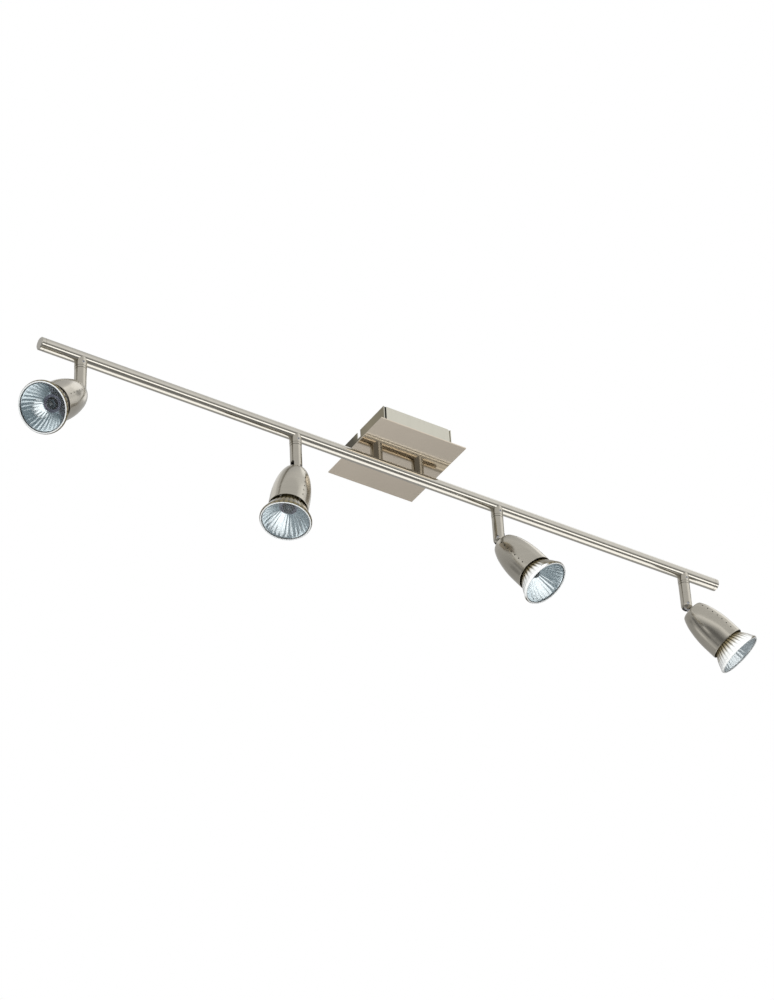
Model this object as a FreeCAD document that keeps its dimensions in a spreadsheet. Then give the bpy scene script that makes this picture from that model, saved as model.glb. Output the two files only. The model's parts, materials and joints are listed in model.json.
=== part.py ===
# Ceiling spotlight bar: four swivelling lamps under a round bar, which two posts hold
# below a square canopy plate and its sheet-metal pan.
# Millimetres. Origin: centre of the canopy in the ceiling plane. +Z up, +X along the bar.
import FreeCAD, Part
import Sketcher
import math
import os

DIMENSIONS = [
    # Bar and its end caps
    ("bar_diameter", 12.8), ("bar_wall", 1.0), ("bar_length", 784.0), ("bar_drop", 39.5),
    ("cap_length", 4.5), ("cap_chamfer", 0.7), ("cap_plug", 8.0), ("cap_seam", 0.25),
    # Canopy: plate, pan, bracket, posts
    ("plate_side", 98.0), ("plate_thickness", 1.2), ("plate_drop", 26.1),
    ("pan_side", 78.3), ("sheet_thickness", 0.8), ("corner_slit", 2.2), ("pan_lip", 3.0),
    ("notch_width", 5.5), ("notch_depth", 8.0), ("notch_offset", 6.5),
    ("corner_tab", 7.0),
    ("post_spacing", 48.0), ("post_diameter", 12.2), ("post_thread", 6.0), ("post_bore", 3.6),
    ("post_thread_rise", 5.6),
    ("nut_across", 10.0), ("nut_height", 3.0),
    ("bracket_width", 18.0), ("bracket_thickness", 1.5), ("bracket_gap", 0.75),
    ("bracket_slot_spacing", 50.0), ("bracket_slot_width", 4.5), ("bracket_slot_length", 12.0),
    ("cable_hole", 12.0), ("bracket_tab", 13.0), ("hook_drop", 2.5), ("hook_reach", 4.0),
    ("lock_screw_drop", 8.0), ("lock_screw_thread", 4.0), ("lock_screw_head", 7.6),
    ("lock_screw_head_height", 2.2), ("lock_screw_length", 8.0), ("lock_screw_chamfer", 0.7),
    ("lock_screw_slot", 1.1), ("lock_screw_slot_depth", 1.1),
    # Wiring
    ("terminal_length", 32.0), ("terminal_width", 17.0), ("terminal_height", 14.0),
    ("terminal_offset", 21.0), ("terminal_pitch", 10.0), ("terminal_bore", 3.4),
    ("terminal_bore_rise", 4.7), ("terminal_screw", 3.0), ("terminal_screw_length", 6.0),
    ("terminal_screw_offset", 4.5), ("terminal_slot", 0.7), ("terminal_slot_depth", 0.7),
    ("earth_offset", 24.0), ("earth_stud", 4.0), ("earth_stud_height", 9.0),
    ("earth_nut_across", 7.0), ("earth_nut_height", 3.2), ("earth_nut_rise", 2.0),
    ("lead_diameter", 2.2), ("lead_spread", 2.0), ("lead_rise", 0.55), ("lead_length", 690.0),
    # Lamp places and the swivel under the bar
    ("outer_lamp", 349.1), ("inner_lamp", 117.0),
    ("collar_diameter", 12.0), ("collar_drop", 12.3), ("collar_neck", 7.6),
    ("collar_neck_top", 4.2), ("collar_shoulder", 2.0),
    ("ring_height", 2.3), ("seam", 0.2), ("running_gap", 0.05), ("loose_gap", 0.3),
    ("grub_diameter", 2.6), ("grub_drop", 8.4), ("grub_tip", 1.8), ("grub_socket", 1.3),
    ("stem_diameter", 11.7), ("pivot_drop", 41.0), ("spigot_diameter", 6.0),
    ("spigot_bore", 2.6), ("spigot_groove_depth", 0.9), ("spigot_groove_width", 2.6),
    ("slot_width", 4.2), ("slot_back", 4.7), ("slot_rise", 4.2), ("wire_bore_end", 5.0),
    ("pin_diameter", 3.0), ("pin_recess", 0.5),
    ("tongue_thickness", 3.6), ("tongue_depth", 6.8), ("eye_diameter", 8.6),
    ("boss_start", 6.3), ("boss_diameter", 9.6),
    # Lamp head, measured along its axis from the tilt pivot
    ("shell_rear", 7.2), ("shell_length", 51.0), ("shell_wall", 0.7), ("rear_wall", 1.0),
    ("rear_flat_radius", 9.7), ("rear_corner_arc", 2.8), ("rear_corner_depth", 1.6),
    ("shell_rear_radius", 12.2), ("shell_knee", 12.0), ("shell_knee_radius", 16.1),
    ("shell_full", 38.0), ("shell_radius", 19.3), ("rear_arc", 50.0), ("front_arc", 107.0),
    ("stud_diameter", 6.0), ("stud_length", 8.2),
    ("vent_diameter", 1.4), ("vent_pitch", 6.2), ("vent_first", 6.9), ("vent_count", 7),
    ("holder_neck_radius", 5.4), ("holder_neck", 8.4), ("holder_radius", 12.5),
    ("holder_length", 12.0), ("holder_recess", 8.0), ("holder_boss_radius", 2.1),
    ("holder_recess_radius", 7.9),
    # Reflector lamp with a two-pin twist-lock base
    ("lamp_front", 75.9), ("base_rear", 28.9), ("base_radius", 9.0), ("base_waist_radius", 10.2),
    ("base_taper", 3.0), ("base_length", 15.1), ("lamp_pin_pitch", 10.0), ("lamp_pin_head", 4.9),
    ("lamp_pin_neck", 2.8), ("lamp_pin_length", 7.0), ("lamp_pin_head_length", 2.6),
    ("neck_radius", 9.4), ("neck_end", 51.2), ("glass_wall", 1.6), ("cone_end", 73.4),
    ("cone_radius", 24.2), ("cone_arc", 51.0), ("rim_radius", 25.0), ("rim_wall", 1.7),
    ("lens_thickness", 1.1), ("lens_recess", 0.4),
    ("capsule_radius", 4.4), ("capsule_rear", 40.5), ("capsule_front", 63.0),
]

# Each lamp: name, side and ring of its place on the bar, pan of the tilt direction from +X,
# tilt from straight down, and turn of the shell about its own axis, in degrees.
LAMPS = [
    ("1", "outer_lamp", -1, 204.3, 45.0, -3.0),
    ("2", "inner_lamp", -1, 197.3, 14.0, -6.0),
    ("3", "inner_lamp", 1, 312.9, 34.1, -16.0),
    ("4", "outer_lamp", 1, 338.7, 41.5, 13.0),
]

X_AXIS = FreeCAD.Vector(1, 0, 0)
Y_AXIS = FreeCAD.Vector(0, 1, 0)
Z_AXIS = FreeCAD.Vector(0, 0, 1)
OVERRUN = 2.0  # how far a cutting tool runs past the metal

doc = FreeCAD.newDocument("spotlight_bar")
sheet = doc.addObject("Spreadsheet::Sheet", "Sheet")


class Size:
    """A length together with the spreadsheet expression that gives it."""

    def __init__(self, value, text):
        self.value = float(value)
        self.text = text

    def __add__(self, other):
        other = as_size(other)
        return Size(self.value + other.value, f"({self.text} + {other.text})")

    def __sub__(self, other):
        other = as_size(other)
        return Size(self.value - other.value, f"({self.text} - {other.text})")

    def __mul__(self, other):
        other = as_size(other)
        return Size(self.value * other.value, f"({self.text} * {other.text})")

    def __truediv__(self, other):
        other = as_size(other)
        return Size(self.value / other.value, f"({self.text} / {other.text})")

    def __neg__(self):
        return Size(-self.value, f"(0 - {self.text})")


def as_size(number):
    if isinstance(number, Size):
        return number
    return Size(number, f"({number})")


def fill_sheet():
    sizes = {}
    for row, (name, value) in enumerate(DIMENSIONS, start=1):
        sheet.set(f"A{row}", name)
        sheet.set(f"B{row}", str(value))
        sheet.setAlias(f"B{row}", name)
        sizes[name] = Size(value, f"Sheet.{name}")
    doc.recompute()
    return sizes


D = fill_sheet()


def bind(item, **sizes):
    """Set the named properties of an object from sizes, as expressions."""
    for name, size in sizes.items():
        item.setExpression(name, as_size(size).text)
    return item


def place(item, x=0, y=0, z=0, rotation=None):
    """Give an object its place; x, y and z are bound to the sheet."""
    point = [as_size(x), as_size(y), as_size(z)]
    base = FreeCAD.Vector(*[size.value for size in point])
    item.Placement = FreeCAD.Placement(base, rotation or FreeCAD.Rotation())
    for axis, size in zip("xyz", point):
        if size.value:
            item.setExpression(f"Placement.Base.{axis}", size.text)
    return item


# Part primitives and booleans

def box(name, length, width, height, x, y, z):
    item = doc.addObject("Part::Box", name)
    bind(item, Length=length, Width=width, Height=height)
    return place(item, x, y, z)


def cylinder(name, radius, height, x=0, y=0, z=0, axis=Z_AXIS):
    item = doc.addObject("Part::Cylinder", name)
    bind(item, Radius=radius, Height=height)
    return place(item, x, y, z, FreeCAD.Rotation(Z_AXIS, axis))


def hexagon(name, across, height, x=0, y=0, z=0):
    item = doc.addObject("Part::Prism", name)
    item.Polygon = 6
    bind(item, Circumradius=across / math.sqrt(3), Height=height)
    return place(item, x, y, z)


def fused(name, items):
    item = doc.addObject("Part::MultiFuse", name)
    item.Shapes = items
    return item


def cut(name, base, tool):
    item = doc.addObject("Part::Cut", name)
    item.Base = base
    item.Tool = tool
    return item


def group(name, items):
    item = doc.addObject("Part::Compound", name)
    item.Links = items
    return item


# PartDesign bodies

def new_body(name):
    return doc.addObject("PartDesign::Body", name)


def sketch_on(body, role, name):
    plane = [item for item in body.Origin.OriginFeatures if item.Role == role][0]
    sketch = body.newObject("Sketcher::SketchObject", name)
    sketch.AttachmentSupport = [(plane, "")]
    sketch.MapMode = "FlatFace"
    return sketch


def fix_point(sketch, geometry, position, point):
    """Tie a sketch point to its two coordinates."""
    for kind, axis, size in zip(("DistanceX", "DistanceY"), (-2, -1), point):
        if abs(size.value) < 1e-9:
            sketch.addConstraint(Sketcher.Constraint("PointOnObject", geometry, position, axis))
        else:
            index = sketch.addConstraint(
                Sketcher.Constraint(kind, -1, 1, geometry, position, size.value))
            sketch.setExpression(f"Constraints[{index}]", size.text)


def arc_between(start, end, radius, left):
    """Arc from start to end; its middle lies to the left or right of the way there."""
    first = FreeCAD.Vector(start[0].value, start[1].value, 0)
    last = FreeCAD.Vector(end[0].value, end[1].value, 0)
    chord = last - first
    side = FreeCAD.Vector(-chord.y, chord.x, 0).normalize()
    reach = math.sqrt(radius.value ** 2 - (chord.Length / 2) ** 2)
    centre = (first + last) * 0.5 + side * (-reach if left else reach)
    circle = Part.Circle(centre, Z_AXIS, radius.value)
    angles = [math.atan2(point.y - centre.y, point.x - centre.x) for point in (first, last)]
    if left:
        angles.reverse()
    return Part.ArcOfCircle(circle, angles[0], angles[1])


def outline(sketch, points, arcs=None):
    """Closed outline through the points; arcs maps an edge's number to (radius, left)."""
    arcs = arcs or {}
    points = [(as_size(across), as_size(along)) for across, along in points]
    ends = []
    for index, start in enumerate(points):
        end = points[(index + 1) % len(points)]
        if index in arcs:
            radius, left = as_size(arcs[index][0]), arcs[index][1]
            geometry = sketch.addGeometry(arc_between(start, end, radius, left))
            bound = sketch.addConstraint(Sketcher.Constraint("Radius", geometry, radius.value))
            sketch.setExpression(f"Constraints[{bound}]", radius.text)
            ends.append((geometry, 2, 1) if left else (geometry, 1, 2))
        else:
            line = Part.LineSegment(
                FreeCAD.Vector(start[0].value, start[1].value, 0),
                FreeCAD.Vector(end[0].value, end[1].value, 0))
            ends.append((sketch.addGeometry(line), 1, 2))
    for index, (geometry, first, last) in enumerate(ends):
        following = ends[(index + 1) % len(ends)]
        sketch.addConstraint(
            Sketcher.Constraint("Coincident", geometry, last, following[0], following[1]))
        fix_point(sketch, geometry, first, points[index])
    return sketch


def circle(sketch, across, along, radius):
    centre = (as_size(across), as_size(along))
    radius = as_size(radius)
    middle = FreeCAD.Vector(centre[0].value, centre[1].value, 0)
    geometry = sketch.addGeometry(Part.Circle(middle, Z_AXIS, radius.value))
    fix_point(sketch, geometry, 3, centre)
    bound = sketch.addConstraint(Sketcher.Constraint("Radius", geometry, radius.value))
    sketch.setExpression(f"Constraints[{bound}]", radius.text)


def rectangle(sketch, left, low, right, high):
    return outline(sketch, [(left, low), (right, low), (right, high), (left, high)])


def turned(name, points, arcs=None):
    """A body turned about its own Z axis from an outline of (radius, height) points."""
    body = new_body(name)
    sketch = outline(sketch_on(body, "XZ_Plane", name + "_profile"), points, arcs)
    turning = body.newObject("PartDesign::Revolution", name + "_turning")
    turning.Profile = sketch
    turning.ReferenceAxis = (sketch, ["V_Axis"])
    turning.Angle = 360
    doc.recompute()
    return body


def padded(name, role, draw, length, midplane=False):
    body = new_body(name)
    sketch = sketch_on(body, role, name + "_outline")
    draw(sketch)
    pad = body.newObject("PartDesign::Pad", name + "_pad")
    pad.Profile = sketch
    pad.Midplane = midplane
    bind(pad, Length=length)
    doc.recompute()
    return body


def pocket(body, role, draw, length=None, offset=None, midplane=False, reverse=False):
    """Cut a sketched pocket and make sure that it took metal away."""
    before = body.Shape.Volume
    name = f"{body.Name}_pocket_{len(body.Group)}"
    sketch = sketch_on(body, role, name + "_sketch")
    if offset is not None:
        sketch.setExpression("AttachmentOffset.Base.z", as_size(offset).text)
    draw(sketch)
    feature = body.newObject("PartDesign::Pocket", name)
    feature.Profile = sketch
    feature.Midplane = midplane
    feature.Reversed = reverse
    if length is None:
        feature.Type = "ThroughAll"
    else:
        bind(feature, Length=length)
    doc.recompute()
    if not body.Shape.Volume < before:
        raise RuntimeError(f"{name} cut nothing")
    return feature


NODES = []


def node(item, name):
    """Register a finished sub-part under its own name."""
    item.Label = name
    NODES.append(item)
    return item


# Levels that several pieces share, measured from the ceiling plane
BAR_RADIUS = D["bar_diameter"] / 2
BAR_BORE = BAR_RADIUS - D["bar_wall"]
PLATE_TOP = D["plate_thickness"] - D["plate_drop"]
WEB_TOP = PLATE_TOP + D["sheet_thickness"]
PAN_HALF = D["pan_side"] / 2
PAN_INSIDE = PAN_HALF - D["sheet_thickness"]


# Canopy

def draw_post_holes(sketch):
    for side in (-1, 1):
        circle(sketch, D["post_spacing"] / 2 * side, 0, D["post_thread"] / 2 + D["running_gap"])


def make_plate():
    half = D["plate_side"] / 2
    body = padded("plate", "XY_Plane", lambda s: rectangle(s, -half, -half, half, half),
                  D["plate_thickness"])
    pocket(body, "XY_Plane", draw_post_holes, midplane=True)
    place(body, z=-D["plate_drop"])
    node(body, "canopy_plate")


def draw_corner_slits(sketch):
    """Four slits where the front and back walls stop short of the side walls."""
    for side in (-1, 1):
        for face in (-1, 1):
            rectangle(sketch, PAN_INSIDE * side, PAN_INSIDE * face,
                      (PAN_INSIDE - D["corner_slit"]) * side, (PAN_HALF + OVERRUN) * face)


def draw_pan_inside(sketch):
    """The square room inside the pan, less a folded tab behind each end of two walls."""
    tab_end = PAN_INSIDE - D["corner_tab"]
    tab_face = PAN_INSIDE - D["sheet_thickness"]
    points = []
    for side, face in ((1, 1), (-1, 1), (-1, -1), (1, -1)):
        corner = [(PAN_INSIDE * side, tab_face * face), (tab_end * side, tab_face * face),
                  (tab_end * side, PAN_INSIDE * face)]
        points += corner if side == face else reversed(corner)
    outline(sketch, points)


def make_pan():
    """Square pan folded from sheet: open upwards, with slit corners, a lip and a wire notch."""
    height = -PLATE_TOP
    sheet_thickness = D["sheet_thickness"]
    lip_inside = PAN_HALF - D["pan_lip"]
    notch_left = D["notch_offset"] - D["notch_width"] / 2
    notch_right = D["notch_offset"] + D["notch_width"] / 2
    body = padded("pan", "XY_Plane",
                  lambda s: rectangle(s, -PAN_HALF, -PAN_HALF, PAN_HALF, PAN_HALF), height)
    pocket(body, "XY_Plane", draw_pan_inside, height - sheet_thickness * 2,
           height - sheet_thickness)
    pocket(body, "XY_Plane",
           lambda s: rectangle(s, -PAN_INSIDE, -lip_inside, PAN_INSIDE, PAN_INSIDE),
           sheet_thickness + OVERRUN, height + OVERRUN)
    pocket(body, "XY_Plane", draw_post_holes, midplane=True)
    pocket(body, "XY_Plane", draw_corner_slits, height - sheet_thickness + OVERRUN,
           height + OVERRUN)
    pocket(body, "YZ_Plane",
           lambda s: rectangle(s, notch_left, height - D["notch_depth"],
                               notch_right, height + OVERRUN))
    pocket(body, "XZ_Plane",
           lambda s: circle(s, 0, height - D["lock_screw_drop"],
                            D["lock_screw_thread"] / 2 + D["loose_gap"]))
    place(body, z=PLATE_TOP)
    node(body, "canopy_pan")


def make_bracket():
    """Ceiling strap: a hook under the pan's lip in front, a threaded tab behind."""
    width = D["bracket_width"]
    thickness = D["bracket_thickness"]
    back = PAN_INSIDE - D["bracket_gap"]
    front = D["pan_lip"] + D["bracket_gap"] - PAN_HALF
    hook_tip = front - D["hook_reach"] / 2
    left = -(width / 2)
    strap = box("strap", width, back - front, thickness, left, front, -thickness)
    tab = box("tab", width, thickness, D["bracket_tab"], left, back - thickness, -D["bracket_tab"])
    hook = box("hook", width, D["hook_reach"], thickness, left, hook_tip, -D["hook_drop"])
    tools = [cylinder("cable_way", D["cable_hole"] / 2, thickness * 3, z=thickness * -2)]
    straight = D["bracket_slot_length"] - D["bracket_slot_width"]
    for side in (-1, 1):
        middle = D["bracket_slot_spacing"] / 2 * side
        tools.append(box("slot", D["bracket_slot_width"], straight, thickness * 3,
                         D["bracket_slot_width"] / -2, middle - straight / 2, thickness * -2))
        for end in (-1, 1):
            tools.append(cylinder("slot_end", D["bracket_slot_width"] / 2, thickness * 3,
                                  y=middle + straight / 2 * end, z=thickness * -2))
    tools.append(cylinder("screw_way", D["lock_screw_thread"] / 2 + D["running_gap"],
                          thickness * 3, y=back - thickness * 2, z=-D["lock_screw_drop"],
                          axis=Y_AXIS))
    bracket = cut("bracket", fused("bracket_blank", [strap, tab, hook]),
                  fused("bracket_tools", tools))
    node(bracket, "mounting_bracket")


def make_lock_screw():
    """Screw through the pan's back wall into the bracket's tab; its head is outside."""
    head = D["lock_screw_head"] / 2
    shank = D["lock_screw_thread"] / 2
    height = D["lock_screw_head_height"]
    edge = D["lock_screw_chamfer"]
    body = turned("lock_screw", [
        (0, -D["lock_screw_length"]), (shank, -D["lock_screw_length"]), (shank, 0), (head, 0),
        (head, height - edge), (head - edge, height), (0, height)])
    slot = D["lock_screw_slot"] / 2
    pocket(body, "XY_Plane",
           lambda s: rectangle(s, -head - OVERRUN, -slot, head + OVERRUN, slot),
           D["lock_screw_slot_depth"], height)
    place(body, y=PAN_HALF, z=-D["lock_screw_drop"], rotation=FreeCAD.Rotation(Z_AXIS, Y_AXIS))
    node(body, "lock_screw")


def make_post(name, side):
    """Hollow spacer post: its foot is shaped to the bar, its thread holds plate and pan."""
    across = D["post_spacing"] / 2 * side
    bar_axis = -D["bar_drop"]
    thread_low = D["collar_neck_top"] - D["bar_drop"]
    barrel = cylinder("barrel", D["post_diameter"] / 2, -D["plate_drop"] - bar_axis, across, 0,
                      bar_axis)
    saddled = cut("saddled", barrel, bar_tool(across))
    thread = cylinder("thread", D["post_thread"] / 2,
                      WEB_TOP + D["post_thread_rise"] - thread_low, across, 0, thread_low)
    bore = cylinder("post_bore", D["post_bore"] / 2, D["bar_drop"], across, 0, bar_axis)
    node(cut("post", fused("post_solid", [saddled, thread]), bore), name)


def bar_tool(across):
    """The bar's outer cylinder over a short stretch, for cutting saddles."""
    length = D["collar_diameter"] * 2
    return cylinder("bar_tool", BAR_RADIUS, length, across - length / 2, 0, -D["bar_drop"],
                    axis=X_AXIS)


def make_post_nuts():
    nuts = []
    for side in (-1, 1):
        across = D["post_spacing"] / 2 * side
        blank = hexagon("nut_blank", D["nut_across"], D["nut_height"], across, 0, WEB_TOP)
        bore = cylinder("nut_bore", D["post_thread"] / 2 + D["running_gap"],
                        D["nut_height"] + OVERRUN, across, 0, WEB_TOP)
        nuts.append(cut("nut", blank, bore))
    node(group("nuts", nuts), "post_nuts")


# Wiring inside the canopy and the bar

def terminal_places():
    """The screw places of the terminal block: three ways, two screws each."""
    for way in (-1, 0, 1):
        for end in (-1, 1):
            yield D["terminal_pitch"] * way, D["terminal_offset"] + D["terminal_screw_offset"] * end


def make_terminal_block():
    length, width, height = D["terminal_length"], D["terminal_width"], D["terminal_height"]
    block = box("block", length, width, height, length / -2, D["terminal_offset"] - width / 2,
                WEB_TOP)
    middle = WEB_TOP + D["terminal_bore_rise"]
    tools = []
    for way in (-1, 0, 1):
        tools.append(cylinder("wire_way", D["terminal_bore"] / 2, width * 2,
                              D["terminal_pitch"] * way, D["terminal_offset"] - width, middle,
                              axis=Y_AXIS))
    for across, along in terminal_places():
        tools.append(cylinder("screw_hole", D["terminal_screw"] / 2, height, across, along, middle))
    node(cut("terminal", block, fused("terminal_tools", tools)), "terminal_block")


def make_terminal_screws():
    radius = D["terminal_screw"] / 2 - D["running_gap"]
    length = D["terminal_screw_length"]
    low = WEB_TOP + D["terminal_height"] / 2
    slot = D["terminal_slot"] / 2
    depth = D["terminal_slot_depth"]
    screws = []
    for across, along in terminal_places():
        blank = cylinder("terminal_screw_blank", radius, length, across, along, low)
        groove = box("terminal_screw_slot", radius * 4, slot * 2, depth + OVERRUN,
                     across - radius * 2, along - slot, low + length - depth)
        screws.append(cut("terminal_screw", blank, groove))
    node(group("terminal_screws", screws), "terminal_screws")


def make_earth_terminal():
    """Welded earth stud on the pan's web with its nut."""
    place_x, place_y = -D["earth_offset"], -D["earth_offset"]
    radius = D["earth_stud"] / 2
    stud = cylinder("stud", radius, D["earth_stud_height"], place_x, place_y, WEB_TOP)
    blank = hexagon("earth_nut_blank", D["earth_nut_across"], D["earth_nut_height"], place_x,
                    place_y, WEB_TOP + D["earth_nut_rise"])
    bore = cylinder("earth_nut_bore", radius + D["running_gap"], D["earth_stud_height"], place_x,
                    place_y, WEB_TOP)
    node(group("earth", [stud, cut("earth_nut", blank, bore)]), "earth_terminal")


def make_bar_leads():
    leads = []
    for side in (-1, 1):
        leads.append(cylinder("lead", D["lead_diameter"] / 2, D["lead_length"],
                              D["lead_length"] / -2, D["lead_spread"] * side,
                              D["lead_rise"] - D["bar_drop"], axis=X_AXIS))
    node(group("leads", leads), "bar_leads")


# Bar

def draw_lamp_holes(sketch):
    for lamp in LAMPS:
        circle(sketch, lamp_place(lamp), 0, D["collar_neck"] / 2 + D["running_gap"])


def make_bar():
    def section(sketch):
        circle(sketch, 0, 0, BAR_RADIUS)
        circle(sketch, 0, 0, BAR_BORE)

    body = padded("bar", "YZ_Plane", section, D["bar_length"] - D["cap_length"] * 2, midplane=True)
    pocket(body, "XY_Plane", draw_lamp_holes, D["bar_diameter"])
    pocket(body, "XY_Plane", draw_post_holes, D["bar_diameter"], reverse=True)
    place(body, z=-D["bar_drop"])
    node(body, "bar_tube")


def make_end_cap(name, side):
    """Round plug: its head continues the bar, its shank sits in the bore."""
    plug = BAR_BORE - D["running_gap"]
    seam, length, chamfer = D["cap_seam"], D["cap_length"], D["cap_chamfer"]
    body = turned(name, [
        (0, -D["cap_plug"]), (plug, -D["cap_plug"]), (plug, seam), (BAR_RADIUS, seam),
        (BAR_RADIUS, length - chamfer), (BAR_RADIUS - chamfer, length), (0, length)])
    place(body, x=(D["bar_length"] / 2 - D["cap_length"]) * side, z=-D["bar_drop"],
          rotation=FreeCAD.Rotation(Z_AXIS, X_AXIS * side))
    node(body, name)


# Swivel: collar on the bar, ring, and the stem that turns in them

def lamp_place(lamp):
    """Place of a lamp along the bar."""
    return D[lamp[1]] * lamp[2]


def make_collar(lamp):
    across = lamp_place(lamp)
    radius = D["collar_diameter"] / 2
    low = -D["bar_drop"] - D["collar_drop"]
    barrel = cylinder("collar_barrel", radius, D["collar_drop"] - D["collar_shoulder"],
                      across, 0, low)
    saddled = cut("collar_saddled", barrel, bar_tool(across))
    neck = cylinder("collar_neck", D["collar_neck"] / 2, D["collar_drop"] - D["collar_neck_top"],
                    across, 0, low)
    bore = cylinder("collar_bore", D["spigot_diameter"] / 2 + D["running_gap"],
                    D["collar_drop"] * 2, across, 0, low - OVERRUN)
    grub_way = cylinder("grub_way", D["grub_diameter"] / 2 + D["running_gap"], radius * 2, across,
                        0, -D["bar_drop"] - D["grub_drop"], axis=-Y_AXIS)
    collar = cut("collar", fused("collar_solid", [saddled, neck]),
                 fused("collar_tools", [bore, grub_way]))
    node(collar, "collar_" + lamp[0])


def make_grub_screws():
    """Socket grub screws: each tip runs in the groove of its stem and keeps it in the collar."""
    radius = D["grub_diameter"] / 2
    bore = D["spigot_diameter"] / 2
    tip_start = bore - D["spigot_groove_depth"] / 2
    body_start = bore + D["loose_gap"]
    outer = D["collar_diameter"] / 2 - D["loose_gap"]
    level = -D["bar_drop"] - D["grub_drop"]
    screws = []
    for lamp in LAMPS:
        across = lamp_place(lamp)
        thread = cylinder("grub_thread", radius, outer - body_start, across, -body_start, level,
                          axis=-Y_AXIS)
        tip = cylinder("grub_point", D["grub_tip"] / 2, outer - tip_start, across, -tip_start,
                       level, axis=-Y_AXIS)
        socket = cylinder("grub_socket", D["grub_socket"] / 2, D["grub_socket"], across,
                          D["grub_socket"] / 2 - outer, level, axis=-Y_AXIS)
        screws.append(cut("grub", fused("grub_solid", [thread, tip]), socket))
    node(group("grubs", screws), "swivel_screws")


def make_swivel_rings():
    rings = []
    low = -D["bar_drop"] - D["collar_drop"] - D["seam"] - D["ring_height"]
    for lamp in LAMPS:
        across = lamp_place(lamp)
        blank = cylinder("ring_blank", D["stem_diameter"] / 2, D["ring_height"], across, 0, low)
        bore = cylinder("ring_bore", D["spigot_diameter"] / 2 + D["loose_gap"],
                        D["ring_height"] + OVERRUN * 2, across, 0, low - OVERRUN)
        rings.append(cut("ring", blank, bore))
    node(group("rings", rings), "swivel_rings")


def pivot_place(item, lamp, tilted, turned_by=0):
    """Put a piece drawn about the tilt pivot, pointing down, in its lamp's pose."""
    pose = FreeCAD.Rotation(Z_AXIS, lamp[3])
    if tilted:
        pose = pose * FreeCAD.Rotation(Y_AXIS, -lamp[4]) * FreeCAD.Rotation(Z_AXIS, turned_by)
    return place(item, x=lamp_place(lamp), z=-D["bar_drop"] - D["pivot_drop"], rotation=pose)


def make_stem(lamp):
    """Turned stem: grooved spigot above, round end below, slot for the head's tongue."""
    radius = D["stem_diameter"] / 2
    top = D["pivot_drop"] - D["collar_drop"] - D["seam"] * 2 - D["ring_height"]
    spigot = D["spigot_diameter"] / 2
    spigot_top = D["pivot_drop"] - D["collar_neck_top"]
    groove = spigot - D["spigot_groove_depth"]
    groove_low = D["pivot_drop"] - D["grub_drop"] - D["spigot_groove_width"] / 2
    groove_high = D["pivot_drop"] - D["grub_drop"] + D["spigot_groove_width"] / 2
    bore = D["spigot_bore"] / 2
    break_edge = D["loose_gap"]
    name = "stem_" + lamp[0]
    body = turned(name, [
        (0, -radius), (radius, 0), (radius, top - break_edge), (radius - break_edge, top),
        (spigot, top), (spigot, groove_low), (groove, groove_low), (groove, groove_high),
        (spigot, groove_high), (spigot, spigot_top), (bore, spigot_top),
        (bore, D["wire_bore_end"]), (0, D["wire_bore_end"])], arcs={0: (radius, False)})
    half = D["slot_width"] / 2
    low = -radius - OVERRUN
    pocket(body, "YZ_Plane", lambda s: rectangle(s, -half, low, half, D["slot_rise"]),
           offset=-D["slot_back"], reverse=True)
    pocket(body, "YZ_Plane", lambda s: circle(s, 0, D["slot_rise"], half),
           offset=-D["slot_back"], reverse=True)
    pocket(body, "XZ_Plane", lambda s: circle(s, 0, 0, D["pin_diameter"] / 2), midplane=True)
    pivot_place(body, lamp, tilted=False)
    node(body, name)


def make_pivot_pin(lamp):
    half = D["stem_diameter"] / 2 - D["pin_recess"]
    body = turned("pivot_pin_" + lamp[0], [
        (0, -half), (D["pin_diameter"] / 2, -half), (D["pin_diameter"] / 2, half), (0, half)])
    pose = FreeCAD.Rotation(Z_AXIS, lamp[3]) * FreeCAD.Rotation(Z_AXIS, Y_AXIS)
    place(body, x=lamp_place(lamp), z=-D["bar_drop"] - D["pivot_drop"], rotation=pose)
    node(body, "pivot_pin_" + lamp[0])


# Lamp head

def make_knuckle(lamp):
    """Tongue with an eye on the tilt pin, a shoulder behind the shell and a stud through it."""
    half = D["tongue_thickness"] / 2
    depth = D["tongue_depth"] / 2
    eye = cylinder("eye", D["eye_diameter"] / 2, D["tongue_thickness"], y=-half, axis=Y_AXIS)
    tongue = box("tongue", D["tongue_depth"], D["tongue_thickness"], D["boss_start"],
                 -depth, -half, -D["boss_start"])
    boss = cylinder("boss", D["boss_diameter"] / 2, D["shell_rear"] - D["boss_start"],
                    z=-D["shell_rear"])
    stud = cylinder("stud", D["stud_diameter"] / 2, D["stud_length"],
                    z=-D["shell_rear"] - D["stud_length"])
    hole = cylinder("eye_hole", D["pin_diameter"] / 2 + D["running_gap"],
                    D["tongue_thickness"] * 2, y=-D["tongue_thickness"], axis=Y_AXIS)
    knuckle = cut("knuckle", fused("knuckle_solid", [eye, tongue, boss, stud]), hole)
    pivot_place(knuckle, lamp, tilted=True)
    node(knuckle, "knuckle_" + lamp[0])


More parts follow.
